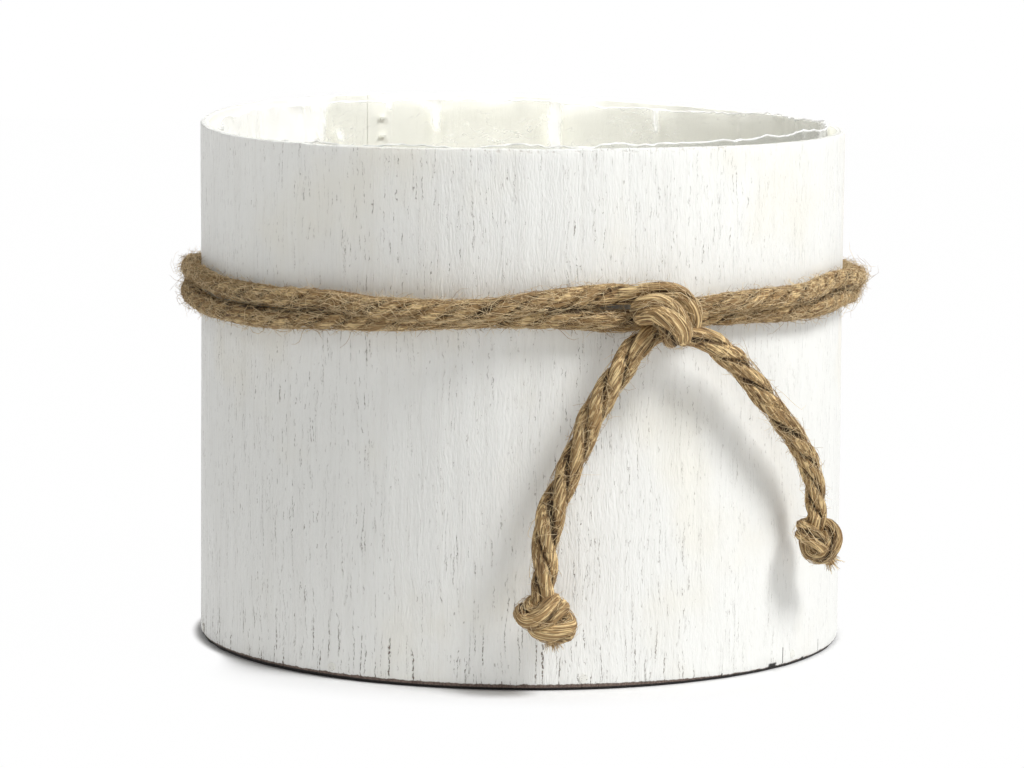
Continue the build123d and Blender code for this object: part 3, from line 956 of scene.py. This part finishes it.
# Where the turns are closer than this, the upper one rides out over the lower one
apart = upper_turn(bearing) - lower_turn(bearing)
squeezed = np.sqrt(np.clip(closest_turns ** 2 - apart ** 2, 0, None)) * riding_share
riding = np.where(on_lower | (bearing < riding_end), 0, squeezed)
from_seam = (seam_angle - bearing) % 360
at_lap = (from_seam < lap_turn + 4) | (from_seam > 360 - ramp_turn - 2)
over_lap = np.where(at_lap, lap_rise + 0.25, 0)
tight = 0.55 * np.clip(np.cos(np.radians(travel)), 0, None) ** 2
reach = ring_radius + soften(riding + over_lap - tight, 61)
reach = reach + 0.18 * waves(41, travel / 9, 0 * travel)
heights = soften(heights, 41) + 0.16 * waves(42, travel / 13, 0 * travel)
pulled_thin = 0.925 - 0.065 * np.cos(2 * np.radians(travel))
winding = Strand(on_ring(reach, np.radians(travel), heights),
                 zip(np.linspace(0, 1, len(travel)), pulled_thin))
plies = lay_plies(winding, 100)


def between_turns(points):
    """How deep each point lies in the cleft between the two turns, from 0 to 1."""
    bearing = np.degrees(np.arctan2(points[:, 1], points[:, 0]))
    bearing = (bearing - knot_angle) % 360 + knot_angle - 360
    upper, lower = upper_turn(bearing), lower_turn(bearing)
    near = 1 - np.clip((np.abs(points[:, 2] - (upper + lower) / 2) - 0.45) / 0.75, 0, 1)
    touching = np.clip((6.8 - upper + lower) / 0.6, 0, 1)
    return near * np.clip((upper - lower - 2.9) / 1.0, 0, 1) * touching


# Painted shade: the plies are painted darker in the cleft where the two turns lie close
plies[2]["hollow"] = plies[2]["hollow"] * (1 - 0.55 * between_turns(plies[0]))
make_rope_piece("rope_turns_plies", plies, jute_finish, "rope_winding")
make_rope_piece("rope_turns_lying_hairs", lying_hairs(winding, 51), hair_finish)
make_rope_piece("rope_turns_standing_hairs", standing_hairs(winding, 53), hair_finish)


# The knot: both ends of the winding cross at the front right, bend round each other and pull
# tight. The ends come out of it as the two tails. Places in it are along, out and up.
def beside_knot(along, out, up):
    """A point near the knot: along the ring to the right, out from it, and up."""
    angle = radians(knot_angle) + along / ring_radius
    return (np.array([cos(angle), sin(angle), 0]) * (ring_radius + out)
            + np.array([0, 0, band_height + up]))


def cord_line(name, route):
    """The smooth line of a free cord, from its route in metres."""
    curve = bpy.data.curves.new(name, "CURVE")
    curve.dimensions = "3D"
    curve.resolution_u = 24
    spline = curve.splines.new("NURBS")
    spline.points.add(len(route) - 1)
    for point, place in zip(spline.points, route):
        point.co = (*place, 1.0)
    spline.order_u = 3
    spline.use_endpoint_u = True
    carrier = bpy.data.objects.new(name, curve)
    mesh = bpy.data.meshes.new_from_object(carrier)
    line = np.array([list(vertex.co) for vertex in mesh.vertices])
    bpy.data.meshes.remove(mesh)
    bpy.data.objects.remove(carrier)
    return line


tail_line_left = cord_line("tail_line_left", [
    (0.0249, -0.0799, 0.0772), (0.0206, -0.0809, 0.0710), (0.0156, -0.0819, 0.0630),
    (0.0125, -0.0824, 0.0552), (0.0092, -0.0828, 0.0477), (0.0061, -0.0831, 0.0396),
    (0.0054, -0.0832, 0.0321), (0.0052, -0.0832, 0.0245)])
tail_line_right = cord_line("tail_line_right", [
    (0.0423, -0.0723, 0.0773), (0.0487, -0.0678, 0.0719), (0.0527, -0.0645, 0.0664),
    (0.0575, -0.0604, 0.0598), (0.0618, -0.0559, 0.0539), (0.0650, -0.0522, 0.0479),
    (0.0665, -0.0502, 0.0415), (0.0669, -0.0497, 0.0357)])
bend_places = [(-6.9, 1.2, 4.2), (-1.6, 3.6, 4.6), (1.6, 5.0, 3.7), (3.9, 5.8, 0.8),
               (4.2, 5.0, -2.6), (1.4, 3.6, -4.2), (-2.4, 3.4, -3.8)]
wrap_places = [(6.8, 2.2, -1.2), (2.6, 3.0, 0.2), (-2.6, 3.4, 0.9), (-6.3, 4.9, 0.7),
               (-6.3, 7.0, 1.2), (-4.5, 8.6, 1.4), (-2.6, 9.8, -0.3), (-1.2, 9.8, -2.4),
               (-0.5, 8.8, -4.6), (1.5, 6.2, -4.3), (4.5, 5.9, -5.0), (7.0, 5.8, -5.9)]
bend_thickness = [(0.2, 0.92), (0.70, 0.95), (1, 1.22)]
wrap_thickness = [(0.15, 0.88), (0.33, 1.05), (0.48, 1.30), (0.60, 1.52), (0.70, 1.50),
                  (0.78, 0.85), (1, 1.10)]
knot_lay = 42.0


def knot_strand(start, places, tail_line, thickness, back):
    """From the winding, through the knot, to where the tail starts."""
    line = smooth_through([start[1], start[0], *[beside_knot(*p) for p in places],
                           tail_line[0] * metre, tail_line[10] * metre])
    return Strand(line[smooth_steps:-smooth_steps], thickness, knot_lay, winding, back, step=0.5)


bend = knot_strand(winding.line[[0, 6]], bend_places, tail_line_left, bend_thickness, True)
wrap = knot_strand(winding.line[[-1, -7]], wrap_places, tail_line_right, wrap_thickness, False)
make_rope_piece("knot_bend_plies", lay_plies(bend, 200), jute_finish, "knot_bend")
make_rope_piece("knot_wrap_plies", lay_plies(wrap, 240), jute_finish, "knot_wrap")
make_rope_piece("knot_hairs", join_meshes(
    lying_hairs(bend, 61, 3), lying_hairs(wrap, 63, 3),
    standing_hairs(bend, 65, 8), standing_hairs(wrap, 67, 8)), hair_finish)


# The tails and their stopper knots: each free end hangs from the knot, curves down against the
# wall and ends in an overhand knot with a short frayed stub. Places of a stopper's strand are
# in millimetres from its middle: right, up and out.
stopper_lay = 30.0
left_knot_middle = (0.4, -7.1)
left_knot_places = [(-0.4, 6.6, 0.2), (-0.6, 3.2, -0.4), (-1.2, 0.4, -0.8), (-1.0, -1.8, 0.6),
                    (1.0, -2.4, 2.2), (3.6, -2.4, 2.1), (5.2, -2.2, 0.0), (4.0, -0.4, -2.6),
                    (0.6, 1.6, -3.4), (-3.0, 2.6, -2.6), (-4.7, 2.0, -0.2), (-3.6, 0.6, 2.3),
                    (-0.9, 1.5, 3.6), (1.6, 3.3, 2.5), (2.7, 3.4, 0.2), (2.5, 0.5, -0.9),
                    (2.1, -3.2, -0.4), (2.0, -5.1, 0.2)]
right_knot_middle = (0.1, -5.7)
right_knot_places = [(-0.4, 5.2, 0.0), (-0.6, 2.4, -0.9), (-1.1, -0.6, -1.5), (-1.1, -3.0, -0.6),
                     (-0.2, -3.3, 1.7), (1.1, -1.3, 3.1), (2.2, 0.9, 3.1), (2.9, 2.6, 1.1),
                     (2.2, 2.8, -1.5), (-0.4, 2.6, -3.0), (-2.9, 2.4, -1.9), (-3.7, 1.7, 0.4),
                     (-2.6, 0.2, 1.9), (-0.4, -1.3, 1.5), (2.2, -2.8, 0.7), (4.4, -4.5, 0.4),
                     (5.7, -5.6, 0.4)]


def stopper(tail, middle, tightness, places, thickness):
    """An overhand knot below the end of a tail."""
    out = unit(tail.line[-1] * [1, 1, 0])
    up = np.array([0.0, 0.0, 1.0])
    right = np.cross(up, out)
    centre = tail.line[-1] + right * middle[0] + up * middle[1]
    knot = [centre + (right * x + up * y + out * z) * tightness for x, y, z in places]
    line = smooth_through([tail.line[-9], tail.line[-1], *knot])
    return Strand(line[smooth_steps:], thickness, stopper_lay, tail, step=0.45)


def frayed_end(strand, seed, count, long):
    """Fibres that spread from the cut end of a strand."""
    rng = np.random.default_rng(seed)
    tip, along, side, cross = strand.line[-1], strand.along[-1], strand.side[-1], strand.cross[-1]
    turn = rng.uniform(0, 2 * pi, count)[:, None, None]
    spread = rng.uniform(0.05, 0.75, count)[:, None, None]
    length = rng.uniform(*long, count)[:, None, None]
    share = np.linspace(0, 1, 6)[None, :, None]
    away = np.cos(turn) * side + np.sin(turn) * cross
    seat = rng.uniform(0.1, 1.5, count)[:, None, None]
    curl = 0.25 * length * np.sin(share * 3 + turn * 5) * share * np.array([0.4, 0.3, 0.6])
    paths = (tip - along * 1.2 + away * seat + along * (1.2 + length) * share
             + away * spread * length * share ** 1.6 + curl)
    keep = wall_clear(paths)
    thick = rng.uniform(0.05, 0.09, count)
    return hair_tubes(paths[keep], thick[keep], rng.random(count)[keep])


# Each tail: its line, the strand it goes on from, its stopper's middle, tightness and places,
# its seed, its length in metres, its lay, and how thick tail and stopper are on their way
tails = (("left", tail_line_left, bend, left_knot_middle, 0.85, left_knot_places, 300, 0.0575,
          28.0, [(0.08, 1.22), (0.3, 1.12), (0.5, 1.14), (0.75, 1.28), (0.9, 1.18), (1, 1.08)],
          [(0.1, 1.18), (0.85, 1.20), (0.93, 1.0), (1, 0.9)]),
         ("right", tail_line_right, wrap, right_knot_middle, 0.92, right_knot_places, 400, 0.0551,
          24.0, [(0.3, 1.10), (0.7, 1.00), (1, 0.92)],
          [(0.1, 0.92), (0.85, 0.94), (0.93, 0.72), (1, 0.62)]))
for (side, line, before, middle, tightness, places, seed, length, lay, tail_thickness,
     knot_thickness) in tails:
    tail = Strand(line * metre, tail_thickness, lay, before, step=0.5, slack=0.10)
    knot = stopper(tail, middle, tightness, places, knot_thickness)
    knot_piece = make_rope_piece(f"stopper_{side}_plies", lay_plies(knot, seed + 50), jute_finish,
                                 "tail_knot_" + side)
    tail_piece = make_rope_piece(f"tail_{side}_plies", lay_plies(tail, seed), jute_finish,
                                 "rope_tail_" + side)
    tuple(line[0])
    make_rope_piece(f"tail_{side}_hairs", join_meshes(
        lying_hairs(tail, seed + 1, 2.2), standing_hairs(tail, seed + 3, 8),
        lying_hairs(knot, seed + 5, 2.5), standing_hairs(knot, seed + 7, 5),
        frayed_end(knot, seed + 9, 110, (0.8, 2.6))), hair_finish)


# Floor: a plain white sheet under the pot, running back out of view. Seen directly it keeps the
# pot's shadow close to the foot and fades to pure white, later in front than at the sides, and
# round the pot it throws a soft light up on the wall.
half_floor = 1500.0
floor_drop = 0.1


def seen_directly(coat):
    """1 on camera, glossy and transmission rays, 0 on the others."""
    camera_ray, glossy_ray, transmission_ray = (coat.node("LightPath", out=k) for k in (0, 3, 6))
    return (camera_ray + glossy_ray + transmission_ray).least(1.0)


def white_paper():
    coat = new_finish("white_paper")
    place = coat.solid_place()
    from_foot = place.from_axis() - outer_radius
    paper = coat.node("BsdfPrincipled", inputs={"Base Color": (0.90, 0.90, 0.90, 1.0),
                                                "Roughness": 0.8, "Specular IOR Level": 0.1})
    glow = coat.node("Emission", inputs={"Color": (1.0, 1.0, 1.0, 1.0), "Strength": 1.0})
    ahead = (place.part(1) * -0.0133).rise(0.42, 0.95)
    faded = 0.995 * ((from_foot - 0.4) / (2.2 + 19.0 * ahead)).rise(0.0, 1.0)
    thrown = 0.8 * from_foot.rise(220.0, 0.0) * from_foot.rise(0.5, 4.0)
    share = thrown + seen_directly(coat) * (faded - thrown)
    return coat.node("MixShader", inputs={0: share, 1: paper, 2: glow}).finished()


floor_mesh = bpy.data.meshes.new("floor")
floor_mesh.from_pydata([Vector((x * half_floor, y * half_floor, -floor_drop)) * millimetre
                        for x, y in ((-1, -1), (1, -1), (1, 1), (-1, 1))], [], [(0, 1, 2, 3)])
floor_mesh.materials.append(white_paper())
floor = bpy.data.objects.new("floor", floor_mesh)
bpy.context.scene.collection.objects.link(floor)


# Light: an even white room, a soft lamp at the front right above the pot, a weak one in front,
# and a narrow beam from above that lights the inside.
room_strength = 0.325
backdrop_strength = 1.0
pot_middle = (0, 0, 0.06)
inner_back_wall = (0.010, 0.066, 0.112)


def white_room():
    coat = begin(bpy.data.worlds.new("white_room"))
    room = coat.node("Background", inputs={"Color": (1.0, 1.0, 0.985, 1.0),
                                           "Strength": room_strength})
    backdrop = coat.node("Background", inputs={"Color": (1.0, 1.0, 1.0, 1.0),
                                               "Strength": backdrop_strength})
    surroundings = coat.node("MixShader", inputs={0: seen_directly(coat), 1: room, 2: backdrop})
    bpy.context.scene.world = surroundings.finished("OutputWorld")


def hang_lamp(name, kind, place, target, **settings):
    """A lamp at a place, in metres, turned to a target, with its size, energy and so on."""
    lamp = bpy.data.lights.new(name, kind)
    for setting, value in settings.items():
        setattr(lamp, setting, value)
    holder = bpy.data.objects.new(name, lamp)
    holder.location = place
    aim = Vector(target) - holder.location
    holder.rotation_euler = aim.to_track_quat("-Z", "Y").to_euler()
    bpy.context.scene.collection.objects.link(holder)


white_room()
hang_lamp("key_lamp", "AREA", (0.83, -0.53, 1.19), pot_middle, shape="DISK", size=0.46,
          energy=17.0, color=(0.99, 0.995, 1.0))
hang_lamp("fill_lamp", "AREA", (-0.1, -1.3, 0.6), pot_middle, shape="DISK", size=0.8,
          energy=0.65, color=(1.0, 1.0, 1.0))
hang_lamp("inside_lamp", "SPOT", (-0.42, -0.60, 0.95), inner_back_wall, energy=58.0,
          spot_size=radians(8.8), spot_blend=1.0, shadow_soft_size=0.09)


# Camera: long lens, a little above the rim, as in the photograph. Its distance and the steps
# that bring the pot to its place in the frame are counted in outer radii of the pot, its focal
# length in pixels.
camera_distance = 15.514
step_right = 0.02783
step_up = 0.02055
frame_width = 1024
focal_length = 4954
sensor_width = 36.0


def set_camera():
    pitch, roll = radians(7.618), radians(0.4506)
    forward = Vector((0, cos(pitch), -sin(pitch)))
    level = Vector((1, 0, 0))
    upright = Vector((0, sin(pitch), cos(pitch)))
    right = cos(roll) * level + sin(roll) * upright
    top = -sin(roll) * level + cos(roll) * upright
    radius = outer_radius * millimetre
    eye = (Vector(pot_middle) - forward * camera_distance * radius
           - right * step_right * radius - top * step_up * radius)
    lens = bpy.data.cameras.new("camera")
    lens.sensor_width = sensor_width
    lens.lens = focal_length / frame_width * sensor_width
    lens.clip_start = 0.05
    camera = bpy.data.objects.new("camera", lens)
    camera.matrix_world = Matrix((right, top, -forward)).transposed().to_4x4()
    camera.location = eye
    bpy.context.scene.collection.objects.link(camera)
    bpy.context.scene.camera = camera


set_camera()
bpy.context.scene.view_settings.view_transform = "Standard"
